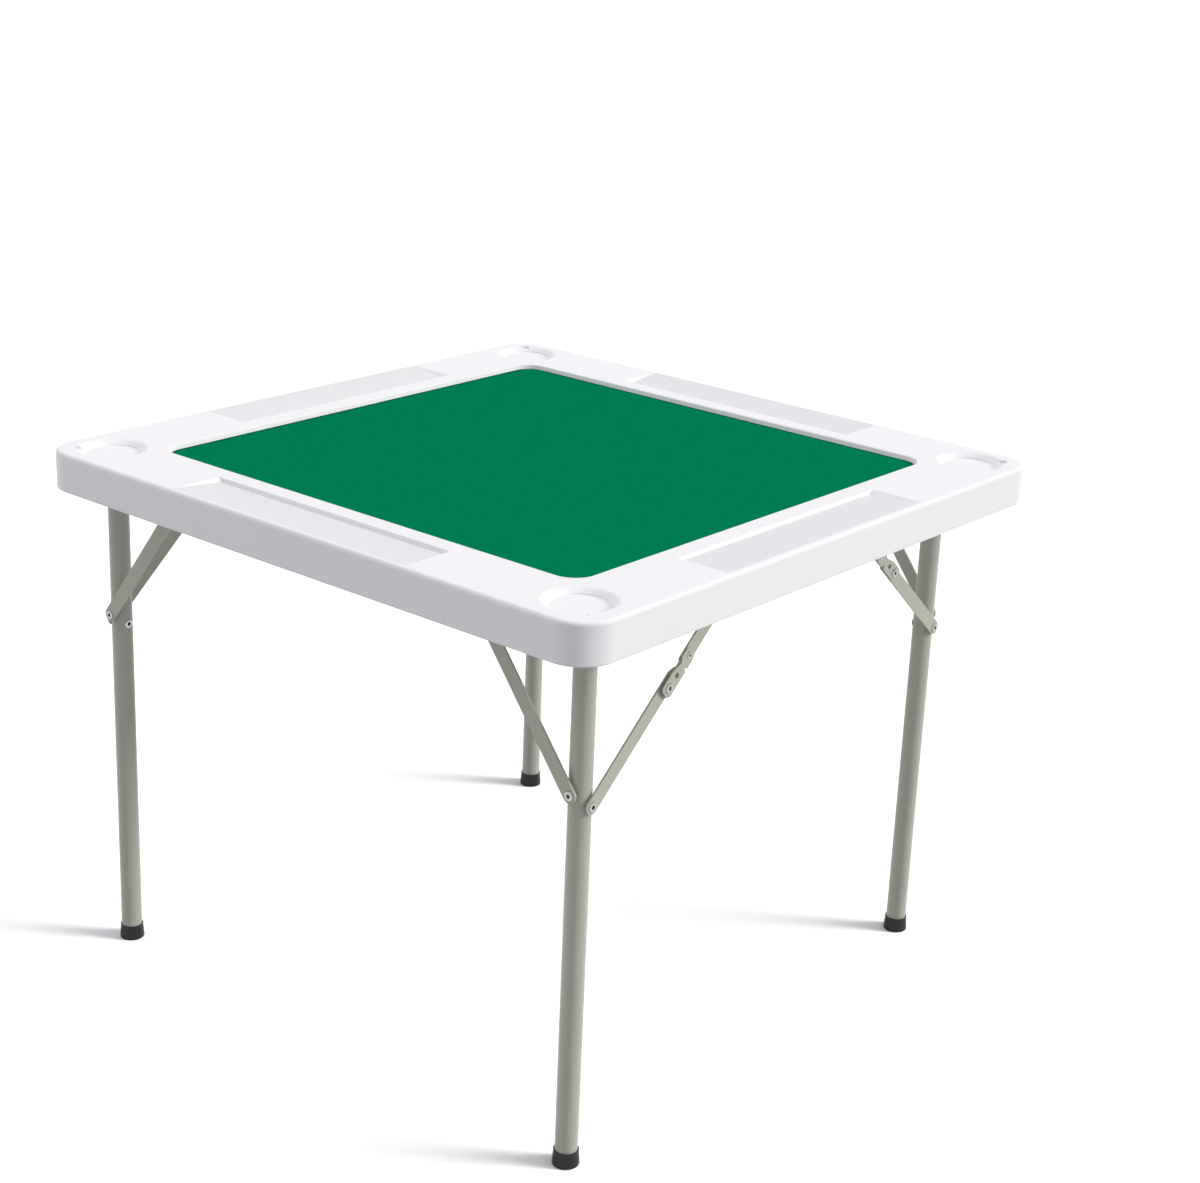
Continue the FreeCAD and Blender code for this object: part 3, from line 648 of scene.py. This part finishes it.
# Matte paint has no shine. It looks white, and throws less light back up at the table than it shows.
floor_paint = bpy.data.materials.new("floor_matte_white")
floor_paint.use_nodes = True
tree = floor_paint.node_tree
tree.nodes.clear()
matte = add(tree, "ShaderNodeBsdfDiffuse", None, {"Color": linear("#F3F3F3")})
dim = add(tree, "ShaderNodeBsdfDiffuse", None, {"Color": linear("#8F8F90")})
paint = add(tree, "ShaderNodeMixShader", None,
            {"Fac": shown(tree), 1: dim.outputs["BSDF"], 2: matte.outputs["BSDF"]})
side = add(tree, "ShaderNodeNewGeometry")
clear = add(tree, "ShaderNodeBsdfTransparent")
paint = add(tree, "ShaderNodeMixShader", None,
            {"Fac": side.outputs["Backfacing"], 1: paint.outputs["Shader"], 2: clear.outputs["BSDF"]})
add(tree, "ShaderNodeOutputMaterial", None, {"Surface": paint.outputs["Shader"]})
floor.data.materials.append(floor_paint)


# Light: a broad soft box overhead, low window light from the right and behind, a weak fill from the
# left and a pale surround. The low lamps leave no glare on the top, so it keeps its form. The last
# lamp lights the floor alone and is shaded by the legs alone, so that they stand on soft shadows.
world = bpy.data.worlds.new("studio")
bpy.context.scene.world = world
world.use_nodes = True
tree = world.node_tree
tree.nodes.clear()
surround = add(tree, "ShaderNodeBackground", None, {"Color": linear("#E6E7F8"), "Strength": 0.37})
white = add(tree, "ShaderNodeBackground", None, {"Color": linear("#FFFFFF"), "Strength": 1.0})
sky = add(tree, "ShaderNodeMixShader", None,
          {"Fac": shown(tree), 1: surround.outputs["Background"], 2: white.outputs["Background"]})
add(tree, "ShaderNodeOutputWorld", None, {"Surface": sky.outputs["Shader"]})

LAMP_COLOUR = "#FFFDF9"
GLARE_ABOVE = 45
LAMPS = (("soft_box", 1.15, 100, 36, 80),
         ("window_light", 1.85, 14, 36, 23),
         ("left_fill", 0.75, 40, 205, 18),
         ("floor_light", 4.3, 30, 36, 23))
for name, energy, spread, azimuth, elevation in LAMPS:
    lamp_data = bpy.data.lights.new(name, "SUN")
    lamp_data.energy = energy
    lamp_data.color = linear(LAMP_COLOUR)[:3]
    lamp_data.angle = math.radians(spread)
    lamp = bpy.data.objects.new(name, lamp_data)
    lamp.visible_glossy = elevation > GLARE_ABOVE
    bpy.context.scene.collection.objects.link(lamp)
    turn, rise = math.radians(azimuth), math.radians(elevation)
    toward = Vector((math.cos(turn) * math.cos(rise), math.sin(turn) * math.cos(rise), math.sin(rise)))
    lamp.rotation_euler = toward.to_track_quat("Z", "Y").to_euler()
floor_lamp = bpy.data.objects["floor_light"]
lit = bpy.data.collections.new("lit_floor")
lit.objects.link(floor)
shading = bpy.data.collections.new("shading_legs")
for corner in CORNERS:
    shading.objects.link(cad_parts["leg_" + corner])
    shading.objects.link(bpy.data.objects["moulded_foot_" + corner])
floor_lamp.light_linking.receiver_collection = lit
floor_lamp.light_linking.blocker_collection = shading


# Camera: stands a little above the table, off its nearest corner, and is rolled slightly.
# Its place and lens are fitted to the corners of the top and to the feet.
CAMERA_PLACE = (1.9018, -2.1854, 1.5505)
CAMERA_LENS, CAMERA_SENSOR = 67.77, 36.0
VIEW_AZIMUTH, VIEW_HEIGHT, VIEW_ROLL = math.radians(39.527), math.radians(19.412), math.radians(2.4)
back = Vector((math.sin(VIEW_AZIMUTH) * math.cos(VIEW_HEIGHT),
               -math.cos(VIEW_AZIMUTH) * math.cos(VIEW_HEIGHT), math.sin(VIEW_HEIGHT)))
level = Vector((math.cos(VIEW_AZIMUTH), math.sin(VIEW_AZIMUTH), 0))
upright = back.cross(level)
right = level * math.cos(VIEW_ROLL) + upright * math.sin(VIEW_ROLL)
up = upright * math.cos(VIEW_ROLL) - level * math.sin(VIEW_ROLL)
camera_data = bpy.data.cameras.new("camera")
camera_data.sensor_width = CAMERA_SENSOR
camera_data.lens = CAMERA_LENS
camera = bpy.data.objects.new("camera", camera_data)
bpy.context.scene.collection.objects.link(camera)
camera_turn = Matrix((right, up, back)).transposed().to_4x4()
camera.matrix_world = Matrix.Translation(CAMERA_PLACE) @ camera_turn
bpy.context.scene.camera = camera
bpy.context.scene.view_settings.view_transform = "Standard"
